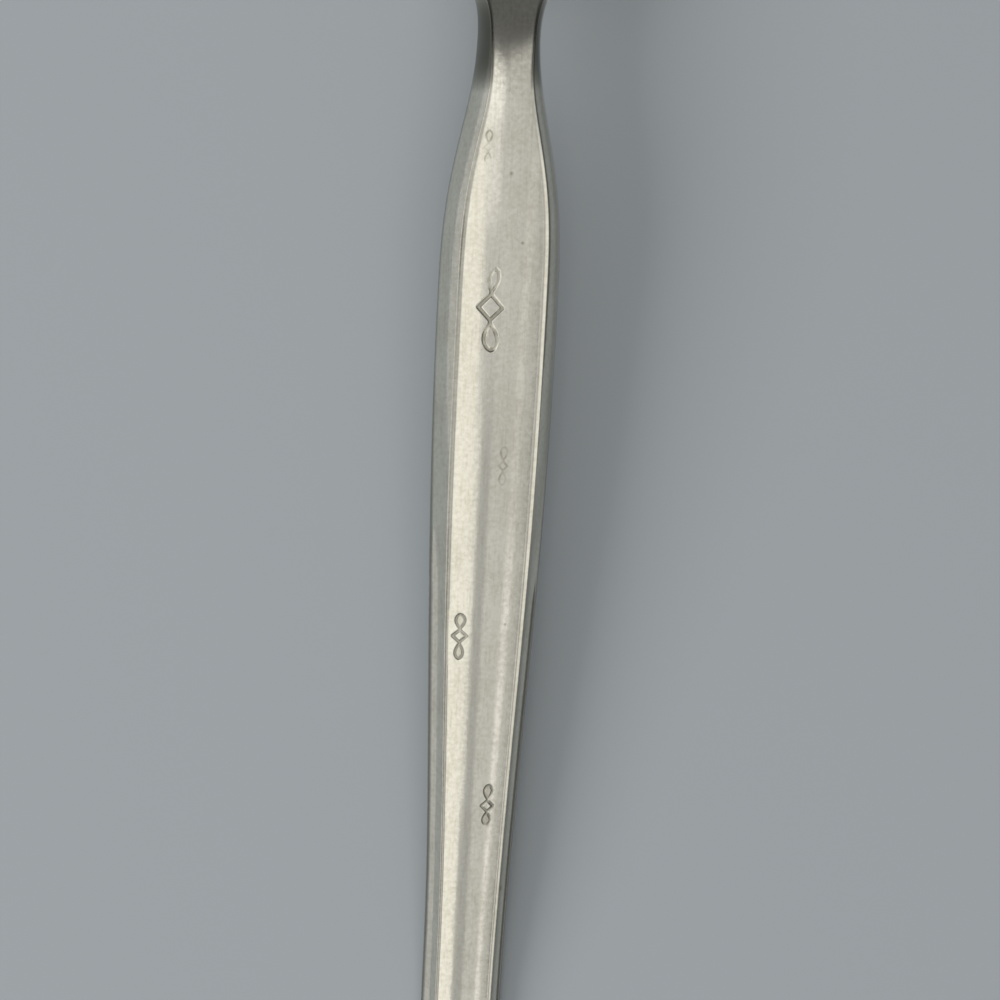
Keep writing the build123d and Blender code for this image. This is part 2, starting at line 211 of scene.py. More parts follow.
# Light panels, level above the spoon: two corners and the height in metres, radiance and colour
PANEL_HEIGHT = 0.6
NARROW_PANEL_HEIGHT = 0.58
STRIP_HEIGHT = 0.57
WHITE_LIGHT = (1.0, 1.0, 1.0)
GREY_LIGHT = (1.0, 1.0, 0.98)
BEIGE_LIGHT = (1.0, 0.995, 0.965)
PALE_IVORY_LIGHT = (1.0, 0.985, 0.93)
IVORY_LIGHT = (1.0, 0.975, 0.90)
Panel = namedtuple("Panel", "name low high height radiance colour")
PANELS = [
    Panel("ivory_panel", (-0.26, -0.45), (-0.03, 0.126), PANEL_HEIGHT, 0.66, IVORY_LIGHT),
    Panel("ivory_side_panel", (-0.03, -0.215), (0.002, -0.10), PANEL_HEIGHT, 0.62, PALE_IVORY_LIGHT),
    Panel("white_panel", (-0.03, -0.10), (0.075, 0.128), PANEL_HEIGHT, 0.33, WHITE_LIGHT),
    Panel("grey_panel", (0.002, -0.215), (0.075, -0.10), PANEL_HEIGHT, 0.17, GREY_LIGHT),
    Panel("grey_end_panel", (-0.03, -0.45), (0.075, -0.215), PANEL_HEIGHT, 0.16, GREY_LIGHT),
    Panel("beige_panel", (0.075, -0.45), (0.385, 0.152), PANEL_HEIGHT, 0.38, BEIGE_LIGHT),
    Panel("far_panel", (-0.03, -0.005), (0.05, 0.126), NARROW_PANEL_HEIGHT, 0.24, PALE_IVORY_LIGHT),
    Panel("far_strip", (-0.03, 0.085), (0.05, 0.128), STRIP_HEIGHT, 0.22, WHITE_LIGHT),
    Panel("narrow_panel", (0.215, -0.15), (0.27, 0.05), NARROW_PANEL_HEIGHT, 0.10, WHITE_LIGHT),
    Panel("narrow_end_panel", (0.215, -0.36), (0.27, -0.15), NARROW_PANEL_HEIGHT, 0.32, WHITE_LIGHT),
]

# Studio round the panels: strengths of its light, by the sideways part of the direction
STUDIO_COLOUR = (0.94, 0.975, 1, 1)
STUDIO_LIMIT = 0.5  # strongest anywhere
LEFT_STRENGTH = 0.44
RIGHT_STRENGTH = 0.13
EVEN_FROM = 0.6  # sideways part beyond which each side is even
GLOW_STRENGTH = 0.14  # added low at the left
GLOW_RANGE = (-0.95, -0.75)  # sideways parts between which it fades
DARK_STRENGTH = 0.12  # of the dark place high up beyond the bowl
DARK_TILT = math.radians(31)  # from overhead towards the bowl
DARK_ASIDE = math.radians(4)
DARK_EDGE = (math.radians(23.5), math.radians(19.5))  # where it starts and is full, from its middle

# Metals, as linear colours
SILVER = (0.88, 0.845, 0.745, 1)
DULL_SILVER = (0.70, 0.665, 0.565, 1)
# colour of the painted shade on the handle, also used for the darkening along its furrows
PAINTED_SHADE_COLOUR = (0.17, 0.165, 0.14, 1)
TARNISH = (0.26, 0.24, 0.16, 1)
SOLDER_GREY = (0.66, 0.65, 0.61, 1)
SOLDER_DARK = (0.42, 0.41, 0.38, 1)

# Patterns in the metals: size in millimetres and detail
Pattern = namedtuple("Pattern", "size detail")
BLOTCHES = Pattern(0.38, 4.0)
CLOUDS = Pattern(5.0, 2.0)
FRECKLES = Pattern(0.13, 2.0)
SCRATCHES = Pattern(0.22, 4.0)
SOLDER_GRAIN = Pattern(0.3, 3.0)
SCRATCH_STRETCH = (1, 0.025, 1)  # scale that draws the scratches out along the handle
CLOUD_SHARE = 0.4  # of the mottle, which has blotches for the rest
SCRATCH_RELIEF = 0.3  # height of the scratches beside that of the blotches
RELIEF_DEPTH = 0.002  # millimetres
SOLDER_RELIEF_DEPTH = 0.04

# What a pattern's values bring about: low and high value, and what they become
MOTTLE_DULLING = (0.40, 0.62, 0.0, 0.7)
FRECKLE_DULLING = (0.60, 0.72, 0.0, 0.4)
SCRATCH_DULLING = (0.50, 0.68, 0.0, 0.4)
STAMPED_TARNISH = (0.1, 1.0, 0.0, 0.65)
POLISH_ROUGHNESS = (0.35, 0.65, 0.09, 0.15)
STAMPED_ROUGHNESS = 0.15  # added in the stamped lines
SOLDER_SHADE = (0.35, 0.65, 0.0, 1.0)
SOLDER_ROUGHNESS = 0.45

# Sockets of a node that mixes colours, by number because their names repeat
MIX_SHARE = 0
MIX_FIRST = 6
MIX_SECOND = 7
MIX_RESULT = 2


# Shapes along the handle
def smooth_curve(places, values):
    """Natural cubic spline through values at rising places, as a function of the place."""
    count = len(places)
    gaps = np.diff(places)
    slopes = np.diff(values) / gaps
    system = np.eye(count)
    pull = np.zeros(count)
    for i in range(1, count - 1):
        system[i, i - 1:i + 2] = gaps[i - 1], 2 * (gaps[i - 1] + gaps[i]), gaps[i]
        pull[i] = 6 * (slopes[i] - slopes[i - 1])
    bends = np.linalg.solve(system, pull)

    def value(at):
        i = min(max(bisect_right(places, at) - 1, 0), count - 2)
        gap = gaps[i]
        after = at - places[i]
        before = places[i + 1] - at
        bent = (bends[i] * before**3 + bends[i + 1] * after**3) / (6 * gap)
        left = (values[i] / gap - bends[i] * gap / 6) * before
        right = (values[i + 1] / gap - bends[i + 1] * gap / 6) * after
        return float(bent + left + right)

    return value


def station_curves():
    """Smooth curves through the stations, one for each of their sizes."""
    places = [station.from_neck for station in STATIONS]
    fields = Station._fields[1:]
    return {name: smooth_curve(places, [getattr(station, name) for station in STATIONS]) for name in fields}


CURVES = station_curves()


def handle_station(from_neck):
    """Cross-section of the handle at a distance from the neck."""
    return Station(from_neck, **{name: curve(from_neck) for name, curve in CURVES.items()})


def smooth_rise(x, steepness):
    """Rise from 0 to 1 that starts at a steepness and ends level."""
    return steepness * x * (1 - x) ** 2 + x * x * (3 - 2 * x)


def clamp(value):
    """Value kept between 0 and 1."""
    return min(max(value, 0.0), 1.0)


def rim_height(from_heel):
    """Height of the bowl's rim, which falls evenly towards the tip."""
    at_deepest = BOWL_DEPTH + BOWL_WALL - REST_FLAT_DEPTH
    return at_deepest + (DEEPEST_FROM_HEEL - from_heel) * RIM_FALL / BOWL_LENGTH


def land_height(station):
    """Height of the lands: a straight line from the rim to the handle's end, and the arch on it."""
    share = (station.from_neck + NECK_TO_BOWL) / (HANDLE_LENGTH + NECK_TO_BOWL)
    end = END_LIFT + STATIONS[-1].thickness
    return rim_height(0.0) + (end - rim_height(0.0)) * share + station.arch


def crown_height(station, x):
    """Height of the crowned or hollow top between the lands."""
    inner = station.top_width / 2 - station.land
    rise = station.crown + station.dip
    return land_height(station) - station.dip + rise * (1 - (x / inner) ** 2)


def between(start, end, steps, crowding=1.0):
    """Points from the start up to, but without, the end; crowding above 1 draws them towards it."""
    return [end.lerp(start, (1 - i / steps) ** crowding) for i in range(steps)]


def curved_run(start, bend, end, steps, crowding=1.0):
    """Points on a curve drawn to the bend; crowding above 1 draws them towards the start."""
    shares = [(i / steps) ** crowding for i in range(steps + 1)]
    return [start.lerp(bend, share).lerp(bend.lerp(end, share), share) for share in shares]


def rounded_corner(before, corner, after, size, steps):
    """Points round a corner, from its one side to the other."""
    start = corner + (before - corner).normalized() * size
    end = corner + (after - corner).normalized() * size
    return curved_run(start, corner, end, steps)


def tongue_rounding(width, side_height):
    """Reach across and rise of the rounded underside at each side of the tongue."""
    return Vector((TONGUE_SPREAD * width, TONGUE_ROUNDING * side_height))


def back_rounding(from_neck):
    """Reach across and rise of the handle's back edge, which grows to the tongue's at the heel."""
    heel_back = rim_height(0.0) - HEEL_THICKNESS
    heel_side = dish_height(HEEL_WIDTH / 2, 0.0, BOWL_WALL + SOLDER_THICKNESS) - heel_back
    share = max(0.0, -from_neck / NECK_TO_BOWL)
    return Vector((BACK_EDGE_RADIUS, BACK_EDGE_RADIUS)).lerp(tongue_rounding(HEEL_WIDTH, heel_side), share)


def back_edge(width, back, rounding, lean=0.0, foot=0.0):
    """Rounding from a side wall, which leans inwards above its upright foot, to the flat back."""
    points = []
    for turn in np.linspace(lean, -math.pi / 2, BACK_EDGE_COLUMNS + 1):
        rise = rounding.y * (1 + math.sin(turn)) + (foot if turn > 0 else 0.0)
        points.append(Vector((width / 2 - rounding.x * (1 - math.cos(turn)), back + rise)))
    return points


def along_wall(station, values):
    """Value for a side wall at a station, from its values at the wall's places."""
    return float(np.interp(station.from_neck / HANDLE_LENGTH, WALL_PLACES, values))


def wall_bend(station):
    """Where the upper slope of a side wall, drawn on, meets its lower slope."""
    run = (station.width - station.top_width) / 2
    bulge = along_wall(station, WALL_BULGE) * run
    fall = along_wall(station, WALL_SHOULDER) * station.thickness
    return Vector((station.top_width / 2 + bulge, land_height(station) - fall))


def handle_profile(station):
    """Right half of a cross-section, from the middle of the top round to the middle of the back."""
    lands = land_height(station)
    back = lands - station.thickness
    crease = Vector((station.top_width / 2, lands))
    inner = Vector((crease.x - station.land, lands - station.dip))
    bend = wall_bend(station)
    crown_places = [inner.x * i / CROWN_COLUMNS for i in range(CROWN_COLUMNS)]
    crown = [Vector((x, crown_height(station, x))) for x in crown_places]
    edge = rounded_corner(inner, crease, bend, CREASE_ROUNDING, CREASE_COLUMNS)
    foot = along_wall(station, WALL_FOOT)
    rounding = back_rounding(station.from_neck)
    lean = math.atan2(station.width / 2 - bend.x, bend.y - back - rounding.y - foot)
    under = back_edge(station.width, back, rounding, lean, foot)
    wall = curved_run(edge[-1], bend, under[0], WALL_COLUMNS, CREASE_CROWDING)
    flat = between(under[-1], Vector((0, back)), BACK_COLUMNS) + [Vector((0, back))]
    land = between(inner, edge[0], LAND_COLUMNS, CREASE_CROWDING)
    return crown + land + edge + wall[1:-1] + under + flat[1:]


def upright(profile, y):
    """Profile points set up across the spoon, none below the surface that it rests on."""
    return [Vector((point.x, y, max(point.y, 0.0))) for point in profile]


def end_row(turn):
    """Row of the rounded end, from its start at turn 0 to its foremost line at a quarter turn."""
    station = handle_station(HANDLE_LENGTH - END_ROUNDING)
    back = land_height(station) - station.thickness
    draft = (station.width - station.top_width) / 2
    start = END_Y + END_ROUNDING
    row = []
    for point in handle_profile(station):
        rise = clamp((point.y - back) / station.thickness)
        reach = END_ROUNDING - draft * rise
        place = Vector((point.x * math.cos(turn), start - reach * math.sin(turn), max(point.y, 0.0)))
        row.append(place)
    return row


# Shapes of the bowl
def rim_half_width(from_heel, margin):
    """Half-width of the bowl's outline, at a margin outside the inner edge of its rim."""
    heel = HEEL_WIDTH / 2 - RIM_WIDTH + margin
    widest = BOWL_WIDTH / 2 - RIM_WIDTH + margin
    if from_heel <= WIDEST_FROM_HEEL:
        return heel + (widest - heel) * smooth_rise(from_heel / WIDEST_FROM_HEEL, HEEL_FLARE)
    x = (from_heel - WIDEST_FROM_HEEL) / (BOWL_LENGTH + margin - WIDEST_FROM_HEEL)
    return widest * max(0.0, 1 - x * x) ** TIP_SHARPNESS


def hollow(from_heel):
    """Depth of the bowl's inside below its rim along the middle, which is below zero past the tip."""
    if from_heel <= DEEPEST_FROM_HEEL:
        drop = smooth_rise(from_heel / DEEPEST_FROM_HEEL, HEEL_DROP)
        return HEEL_HOLLOW + (BOWL_DEPTH - HEEL_HOLLOW) * drop
    x = (from_heel - DEEPEST_FROM_HEEL) / (BOWL_LENGTH - DEEPEST_FROM_HEEL)
    return BOWL_DEPTH * (1 - x * x)


def dish_height(x, from_heel, growth):
    """Height of the bowl's inside, or of its outside where it is grown by the wall."""
    at = min(from_heel, BOWL_LENGTH - RIM_WIDTH)
    depth = hollow(at)
    radius = (rim_half_width(at, 0.0) ** 2 + depth**2) / (2 * depth)
    grown = radius + growth
    height = rim_height(from_heel) - hollow(from_heel) + radius - math.sqrt(max(0.0, grown**2 - x**2))
    return max(0.0, min(height, rim_height(from_heel)))


def rim_outline():
    """Fine points along the right-hand edge of the rim from the tip, with their distances along it."""
    shares = np.linspace(0.0, 1.0, RIM_POINTS) ** 2
    from_heel = (BOWL_LENGTH + RIM_WIDTH) * (1 - shares)
    across = np.array([rim_half_width(at, RIM_WIDTH) for at in from_heel])
    lengths = np.hypot(np.diff(across), np.diff(from_heel))
    return from_heel, across, np.concatenate([[0.0], np.cumsum(lengths)])


def rim_steps(length):
    """Distances along the rim's edge at which the bowl has rows, close together at the teeth."""
    tooth_row = TOOTH_PITCH / ROWS_PER_TOOTH
    plain_end = TEETH_FROM_TIP - TOOTH_PITCH / 2
    teeth_end = plain_end + TOOTH_COUNT * TOOTH_PITCH
    tip = np.arange(0.0, plain_end, BOWL_ROW / 2)
    teeth = plain_end + tooth_row * np.arange(TOOTH_COUNT * ROWS_PER_TOOTH)
    heel_rows = int((length - teeth_end) / BOWL_ROW)
    return np.concatenate([tip, teeth, np.linspace(teeth_end, length, heel_rows)])


def tooth_gap(distance):
    """Depth of the gaps between the teeth at a distance from the tip along the rim's edge."""
    half = (TOOTH_PITCH - TOOTH_LAND) / 2
    middles = TEETH_FROM_TIP + TOOTH_PITCH * np.arange(TOOTH_COUNT)
    return TOOTH_DEPTH * max(0.0, 1 - np.abs(middles - distance).min() / half)


def bowl_row(from_heel, edge, inwards):
    """Right half of a bowl section, from the middle of the inside over the rim to the middle of the back."""
    rim = rim_height(from_heel)
    y = HEEL_Y + from_heel
    inner = rim_half_width(min(from_heel, BOWL_LENGTH), 0.0)
    soft = min(RIM_SOFTENING, inner * LIP_SHARE)
    lip = Vector((inner + soft, y))
    near = edge + inwards * RIM_SOFTENING
    near.x = max(near.x, 0.0)
    foot = dish_height(edge.x, edge.y - HEEL_Y, BOWL_WALL)
    corner = (rim - foot) * EDGE_SHARE
    row = []
    for i in range(DISH_COLUMNS + 1):
        x = (inner - soft) * i / DISH_COLUMNS
        row.append(Vector((x, y, dish_height(x, from_heel, 0.0))))
    row.append(lip.to_3d() + Vector((0, 0, rim)))
    row.append(near.to_3d() + Vector((0, 0, rim)))
    row.append(edge.to_3d() + Vector((0, 0, rim - min(RIM_SOFTENING, corner))))
    row.append(edge.to_3d() + Vector((0, 0, foot + corner)))
    for i in range(DISH_COLUMNS + 1):
        place = near.lerp(Vector((0, y)), i / DISH_COLUMNS)
        row.append(place.to_3d() + Vector((0, 0, dish_height(place.x, place.y - HEEL_Y, BOWL_WALL))))
    return row


def tongue_row(share):
    """Right half of a section of the tongue under the bowl, with the columns of the handle's profile."""
    from_heel = TONGUE_LENGTH * share
    width = TONGUE_END_WIDTH + (HEEL_WIDTH - TONGUE_END_WIDTH) * (1 - share) ** 2
    heel_thickness = HEEL_THICKNESS - HEEL_HOLLOW - BOWL_WALL
    thickness = TONGUE_END_THICKNESS + (heel_thickness - TONGUE_END_THICKNESS) * (1 - share)
    back = rim_height(from_heel) - hollow(from_heel) - BOWL_WALL - thickness
    growth = BOWL_WALL + SOLDER_THICKNESS
    side = Vector((width / 2, dish_height(width / 2, from_heel, growth)))
    under = back_edge(width, back, tongue_rounding(width, side.y - back))
    top_columns = CROWN_COLUMNS + LAND_COLUMNS
    places = [side.x * i / top_columns for i in range(top_columns)]
    top = [Vector((x, dish_height(x, from_heel, growth))) for x in places]
    wall = between(side, under[0], CREASE_COLUMNS + WALL_COLUMNS)
    flat = between(under[-1], Vector((0, back)), BACK_COLUMNS) + [Vector((0, back))]
    return upright(top + wall + under + flat[1:], HEEL_Y + from_heel)


# Mesh making
def first_row(bm, points):
    """Open chain of edges through the points, which remember their columns."""
    column = bm.verts.layers.int.new("column")
    verts = [bm.verts.new(point) for point in points]
    for i, vert in enumerate(verts):
        vert[column] = i
    return [bm.edges.new(pair) for pair in zip(verts, verts[1:])]


def next_row(bm, edges, points):
    """Extrudes a row of edges into a strip of faces that ends at the points."""
    column = bm.verts.layers.int["column"]
    made = bmesh.ops.extrude_edge_only(bm, edges=edges)["geom"]
    for vert in made:
        if isinstance(vert, bmesh.types.BMVert):
            vert.co = points[vert[column]]
    return [edge for edge in made if isinstance(edge, bmesh.types.BMEdge)]


def close_halves(bm):
    """Mirrors the right half, closes the ends and turns all faces outwards."""
    bmesh.ops.mirror(bm, geom=bm.verts[:] + bm.edges[:] + bm.faces[:], axis="X", merge_dist=MERGE_DISTANCE)
    bmesh.ops.remove_doubles(bm, verts=bm.verts, dist=MERGE_DISTANCE)
    open_edges = [edge for edge in bm.edges if edge.is_boundary]
    bmesh.ops.holes_fill(bm, edges=open_edges)
    bmesh.ops.recalc_face_normals(bm, faces=bm.faces)


def finish_piece(bm, name, node, material):
    """Brings a piece to metres, smooths it and sets it in the place of its solid."""
    bmesh.ops.scale(bm, vec=(MM, MM, MM), verts=bm.verts)
    for edge in bm.edges:
        edge.smooth = edge.calc_face_angle(0.0) < SHARP_ANGLE
    for face in bm.faces:
        face.smooth = True
    mesh = bpy.data.meshes.new(name)
    bm.to_mesh(mesh)
    bm.free()
    mesh.materials.append(material)
    piece = bpy.data.objects.new(name, mesh)
    bpy.context.scene.collection.objects.link(piece)
    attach(piece, "root")
    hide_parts(node)


# Sprigs
def loop_width_at(share):
    """Width of a drop-shaped loop from its point to its round end, as a share of its widest."""
    opened = max(0.0, share - STEM_SHARE) / (1 - STEM_SHARE)
    return math.sin(math.pi * opened**LOOP_DROP) ** LOOP_BLUNTNESS


def sprig_strokes(sprig):
    """Middle lines of a sprig's strokes, about its own middle."""
    out = sprig.width / 2
    up = sprig.height / 2
    corners = [Vector((out, 0)), Vector((0, up)), Vector((-out, 0)), Vector((0, -up))]
    strokes = [corners + corners[:1]]
    shares = [i / LOOP_STEPS for i in range(LOOP_STEPS + 1)]
    for loop, end in ((sprig.upper, 1), (sprig.lower, -1)):
        for side in (1, -1):
            half = side * loop.width / 2
            across = [half * loop_width_at(share) + loop.lean * share for share in shares]
            along = [end * (up + loop.length * share) for share in shares]
            strokes.append([Vector(place) for place in zip(across, along)])
    return strokes


def sprig_middle(sprig):
    """Place of a sprig's middle on the handle."""
    return Vector((sprig.offset, NECK_Y - sprig.from_neck))


def stroke_points(sprig):
    """Close points along a sprig's strokes, where it stands on the handle."""
    middle = sprig_middle(sprig)
    points = []
    for stroke in sprig_strokes(sprig):
        for start, end in zip(stroke, stroke[1:]):
            steps = max(1, math.ceil((end - start).length / STAMP_POINT_STEP))
            points += [middle + point for point in between(start, end, steps)]
    return points


def stroke_tree(sprig):
    """Search tree of the points along a sprig's strokes."""
    points = stroke_points(sprig)
    strokes = KDTree(len(points))
    for i, point in enumerate(points):
        strokes.insert(point.to_3d(), i)
    strokes.balance()
    return strokes


def wear_and_fill(sprig, place):
    """Wear of a sprig at a place about its middle, and how far the loop there is filled in."""
    loop = sprig.upper if place.y > 0 else sprig.lower
    share = (abs(place.y) - sprig.height / 2) / loop.length
    if share <= 0:
        return sprig.wear, 0.0
    wear = sprig.wear + (loop.wear - sprig.wear) * min(share / WEAR_BLEND, 1.0)
    inside = share < 1 and abs(place.x - loop.lean * share) < loop.width / 2 * loop_width_at(share)
    return wear, loop.fill if inside else 0.0


def pressed_share(sprig, strokes, place):
    """Share of a sprig's depth that its strokes and filling still have at a place on the handle."""
    away = strokes.find((place.x, place.y, 0))[2] / sprig.half_line
    rise = clamp((1 - away) / (1 - STAMP_FLAT))
    wear, fill = wear_and_fill(sprig, place.to_2d() - sprig_middle(sprig))
    left = clamp(1 - wear + WEAR_SWING * wander(place / WEAR_SIZE))
    return max(smooth_rise(rise, 0.0), fill) * left


def press_sprig(bm, sprig):
    """Divides the top face finely where a sprig stands and presses its strokes in."""
    stamped = bm.verts.layers.float["stamped"]
    half_width = max(sprig.width, sprig.upper.width, sprig.lower.width) / 2 + STAMP_MARGIN
    half_height = sprig.height / 2 + max(sprig.upper.length, sprig.lower.length) + STAMP_MARGIN
    middle = sprig_middle(sprig)

    def covers(place):
        station = handle_station(NECK_Y - place.y)
        on_crown = abs(place.x) < station.top_width / 2 - station.land
        beside = abs(place.x - middle.x) < half_width
        return on_crown and beside and abs(place.y - middle.y) < half_height

    top_faces = [face for face in bm.faces if face.normal.z > TOP_FACE_RISE]
    faces = [face for face in top_faces if covers(face.calc_center_median())]
    edges = list({edge for face in faces for edge in face.edges})
    bmesh.ops.subdivide_edges(bm, edges=edges, cuts=STAMP_CUTS, use_grid_fill=True)
    strokes = stroke_tree(sprig)
    for vert in bm.verts:
        if not covers(vert.co):
            continue
        top = crown_height(handle_station(NECK_Y - vert.co.y), vert.co.x)
        if vert.co.z < top - TOP_FACE_DEPTH:
            continue
        pressed = pressed_share(sprig, strokes, vert.co)
        vert.co.z = top - sprig.depth * pressed
        vert[stamped] = pressed


def shade_walls(bm):
    """Darkening along the furrows, and painted shade on the lands, the right wall, the foot of the walls,
    the back edge, the back and round the neck.
    """
    column = bm.verts.layers.int["column"]
    furrow_and_painted_shade = bm.verts.layers.float.new("furrow_and_painted_shade")
    furrow = CROWN_COLUMNS
    crease = furrow + LAND_COLUMNS + CREASE_COLUMNS
    foot = crease + WALL_COLUMNS
    turned = foot + BACK_EDGE_COLUMNS
    darkest = foot + BACK_EDGE_COLUMNS * BACK_EDGE_DARKEST
    places = [furrow - 1, furrow, crease, foot - 1, foot, darkest, turned]
    shades = [0.0, FURROW_DARKENING, 0.0, 0.0, FOOT_PAINTED_SHADE, BACK_EDGE_PAINTED_SHADE, BACK_PAINTED_SHADE]
    for vert in bm.verts:
        from_neck = NECK_Y - vert.co.y
        shade = float(np.interp(vert[column], places, shades))
        if furrow < vert[column] <= crease:
            shade = max(shade, float(np.interp(from_neck / HANDLE_LENGTH, LAND_SHADE_PLACES, LAND_PAINTED_SHADE)))
        if vert[column] > crease and vert.co.x > 0:
            shade = max(shade, RIGHT_WALL_PAINTED_SHADE)
        if vert[column] > furrow:
            shade = max(shade, 1 - (from_neck / NECK_PAINTED_SHADE_REACH) ** NECK_PAINTED_SHADE_FADE)
        vert[furrow_and_painted_shade] = shade


def make_handle(silver):
    """Handle with the tongue under the bowl, its painted shade and furrow darkening, and its stamped sprigs.
    """
    bm = bmesh.new()
    heel = first_row(bm, upright(handle_profile(STATIONS[0]), HEEL_Y))
    edges = heel
    length = HANDLE_LENGTH - END_ROUNDING + NECK_TO_BOWL
    rows = round(length / HANDLE_ROW)
    for i in range(1, rows + 1):
        from_neck = length * i / rows - NECK_TO_BOWL
        edges = next_row(bm, edges, upright(handle_profile(handle_station(from_neck)), NECK_Y - from_neck))
    for i in range(1, END_ROWS + 1):
        edges = next_row(bm, edges, end_row(math.pi / 2 * i / END_ROWS))
    edges = heel
    for i in range(TONGUE_ROWS + 1):
        edges = next_row(bm, edges, tongue_row(i / TONGUE_ROWS))
    close_halves(bm)
    shade_walls(bm)
    bm.verts.layers.float.new("stamped")
    for sprig in SPRIGS:
        press_sprig(bm, sprig)
    finish_piece(bm, "stamped_handle", "handle", silver)


def make_bowl(silver):
    """Bowl, row by row from its tip, with its softened rim and its teeth."""
    from_heel, across, distances = rim_outline()
    bm = bmesh.new()
    edges = None
    for distance in rim_steps(distances[-1]):
        at = float(np.interp(distance, distances, from_heel))
        edge = Vector((rim_half_width(at, RIM_WIDTH), HEEL_Y + at))
        i = min(max(int(np.searchsorted(distances, distance)), 1), len(distances) - 1)
        along = Vector((across[i] - across[i - 1], from_heel[i] - from_heel[i - 1])).normalized()
        inwards = Vector((along.y, -along.x))
        edge += inwards * tooth_gap(distance)
        row = bowl_row(at, edge, inwards)
        edges = next_row(bm, edges, row) if edges else first_row(bm, row)
    close_halves(bm)
    finish_piece(bm, "toothed_bowl", "bowl", silver)


# Materials
def make_material(name):
    material = bpy.data.materials.new(name)
    material.use_nodes = True
    return material, material.node_tree, material.node_tree.nodes["Principled BSDF"]


def add_node(tree, kind, inputs, **settings):
    """Node with its settings, and with its inputs set or linked."""
    made = tree.nodes.new(kind)
    for name, value in settings.items():
        setattr(made, name, value)
    for name, value in inputs.items():
        if isinstance(value, bpy.types.NodeSocket):
            tree.links.new(value, made.inputs[name])
        else:
            made.inputs[name].default_value = value
    return made


def noise(tree, place, pattern):
    """Soft random pattern of that size and detail."""
    inputs = {"Vector": place, "Scale": 1 / (pattern.size * MM), "Detail": pattern.detail}
    return add_node(tree, "ShaderNodeTexNoise", inputs).outputs["Fac"]


def attribute(tree, name):
    """Value that the mesh holds at each place under that name."""
    return add_node(tree, "ShaderNodeAttribute", {}, attribute_name=name).outputs["Fac"]


def spread(tree, value, low, high, to_low, to_high):
    """Value between low and high brought to a new range, level outside it."""
    inputs = {"Value": value, "From Min": low, "From Max": high, "To Min": to_low, "To Max": to_high}
    return add_node(tree, "ShaderNodeMapRange", inputs).outputs["Result"]


def combine(tree, operation, first, second):
    return add_node(tree, "ShaderNodeMath", {0: first, 1: second}, operation=operation).outputs[0]


def blend(tree, share, first, second):
    """Mix of two colours."""
    inputs = {MIX_SHARE: share, MIX_FIRST: first, MIX_SECOND: second}
    return add_node(tree, "ShaderNodeMix", inputs, data_type="RGBA").outputs[MIX_RESULT]


def nick_shade(tree, place):
    """How dark the nicks make each place on the handle."""
    level = add_node(tree, "ShaderNodeMapping", {"Vector": place, "Scale": (1, 1, 0)}).outputs["Vector"]
    shade = 0.0
    for nick in NICKS:
        middle = Vector((nick.offset, NECK_Y - nick.from_neck, 0)) * MM
        inputs = {0: level, 1: middle}
        away = add_node(tree, "ShaderNodeVectorMath", inputs, operation="DISTANCE").outputs["Value"]
        shade = combine(tree, "MAXIMUM", shade, spread(tree, away, 0.0, nick.size * MM, NICK_DARKNESS, 0.0))
    return shade


def finish_metal(tree, shader, colour, relief, depth):
    """Gives a metal its colour, and its relief of that depth in millimetres."""
    bump = add_node(tree, "ShaderNodeBump", {"Height": relief, "Strength": 1.0, "Distance": depth * MM})
    tree.links.new(colour, shader.inputs["Base Color"])
    tree.links.new(bump.outputs["Normal"], shader.inputs["Normal"])
    shader.inputs["Metallic"].default_value = 1.0


def make_silver():
    """Worn silver plate: mottled, freckled and scratched along its length, dark in the stamped lines."""
    material, tree, shader = make_material("worn_silver_plate")
    place = add_node(tree, "ShaderNodeTexCoord", {}).outputs["Object"]
    stretch = {"Vector": place, "Scale": SCRATCH_STRETCH}
    drawn_out = add_node(tree, "ShaderNodeMapping", stretch).outputs["Vector"]
    blotches = noise(tree, place, BLOTCHES)
    clouds = noise(tree, place, CLOUDS)
    freckles = noise(tree, place, FRECKLES)
    scratches = noise(tree, drawn_out, SCRATCHES)
    stamped = attribute(tree, "stamped")
    fine = combine(tree, "MULTIPLY", blotches, 1 - CLOUD_SHARE)
    mottle = combine(tree, "ADD", fine, combine(tree, "MULTIPLY", clouds, CLOUD_SHARE))
    dulled = spread(tree, mottle, *MOTTLE_DULLING)
    dulled = combine(tree, "ADD", dulled, spread(tree, freckles, *FRECKLE_DULLING))
    dulled = combine(tree, "ADD", dulled, spread(tree, scratches, *SCRATCH_DULLING))
    colour = blend(tree, dulled, SILVER, DULL_SILVER)
    # painted shade on the handle's walls, back, lands and neck, and darkening along its furrows
    colour = blend(tree, attribute(tree, "furrow_and_painted_shade"), colour, PAINTED_SHADE_COLOUR)
    colour = blend(tree, nick_shade(tree, place), colour, TARNISH)
    colour = blend(tree, spread(tree, stamped, *STAMPED_TARNISH), colour, TARNISH)
    in_lines = combine(tree, "MULTIPLY", stamped, STAMPED_ROUGHNESS)
    roughness = combine(tree, "ADD", spread(tree, mottle, *POLISH_ROUGHNESS), in_lines)
    relief = combine(tree, "ADD", blotches, combine(tree, "MULTIPLY", scratches, SCRATCH_RELIEF))
    finish_metal(tree, shader, colour, relief, RELIEF_DEPTH)
    tree.links.new(roughness, shader.inputs["Roughness"])
    return material


def make_solder():
    """Dull, slightly grainy silver solder."""
    material, tree, shader = make_material("dull_silver_solder")
    place = add_node(tree, "ShaderNodeTexCoord", {}).outputs["Object"]
    grain = noise(tree, place, SOLDER_GRAIN)
    colour = blend(tree, spread(tree, grain, *SOLDER_SHADE), SOLDER_GREY, SOLDER_DARK)
    finish_metal(tree, shader, colour, grain, SOLDER_RELIEF_DEPTH)
    shader.inputs["Roughness"].default_value = SOLDER_ROUGHNESS
    return material


